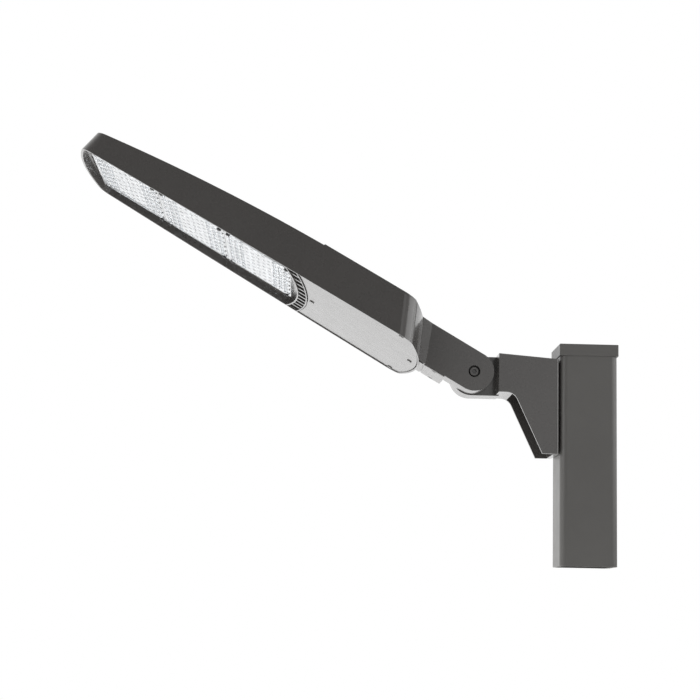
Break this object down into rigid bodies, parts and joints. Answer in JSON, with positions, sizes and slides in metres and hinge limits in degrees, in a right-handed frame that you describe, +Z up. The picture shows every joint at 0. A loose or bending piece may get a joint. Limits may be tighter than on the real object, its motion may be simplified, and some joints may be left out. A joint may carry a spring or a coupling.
{
  "type": "led area light",
  "caption": "LED area light: tapered flat head with optic modules under it, on a tilting knuckle arm bolted to a capped square pole section.",
  "frame": {"origin": "centre of the pole section's lower end", "axes": "+Z up along the pole, the head reaches towards -X, +Y across the head"},
  "size_m": [0.965, 0.399, 0.7351],
  "materials": {
    "bronze_paint": "dark bronze polyester powder coat on steel tube",
    "bronze_casting": "die-cast aluminium under a dark bronze polyester powder coat, semi-gloss",
    "black_rubber": "matt closed-cell gasket",
    "grey_rubber": "silicone gasket",
    "zinc_steel": "zinc-plated steel",
    "dark_steel": "black oxide steel",
    "driver_case": "plain extruded case",
    "black_plastic": "moulded",
    "white_plastic": "moulded",
    "white_board": "white solder resist on a metal-core board",
    "clear_lens": "clear moulded optic plate"
  },
  "bodies": {
    "mast": {"pole_section": "bronze_paint", "pole_cap": "bronze_casting", "bracket_gasket": "black_rubber", "pole_bracket": "bronze_casting", "bracket_bolts": "zinc_steel", "bracket_washers": "zinc_steel", "bracket_nut_plate": "zinc_steel", "friction_disc": "zinc_steel", "pivot_bolt": "dark_steel", "pivot_washer": "dark_steel", "pivot_nut": "zinc_steel"},
    "head": {"knuckle_arm": "bronze_casting", "arm_cover": "bronze_casting", "arm_cover_screws": "dark_steel", "arm_bolts": "zinc_steel", "housing": "bronze_casting", "driver_door": "bronze_casting", "door_gasket": "grey_rubber", "door_screws": "dark_steel", "module_screws": "dark_steel", "led_driver": "driver_case", "surge_protector": "black_plastic", "terminal_block": "white_plastic", "led_board_1": "white_board", "lens_plate_1": "clear_lens", "led_board_2": "white_board", "lens_plate_2": "clear_lens", "led_board_3": "white_board", "lens_plate_3": "clear_lens"}
  },
  "joints": [
    {"name": "knuckle_tilt", "type": "hinge", "parent": "mast", "child": "head", "pos_m": [-0.2036, 0, 0.3386], "axis": [0, 1, 0], "range_deg": [-45, 20]}
  ]
}
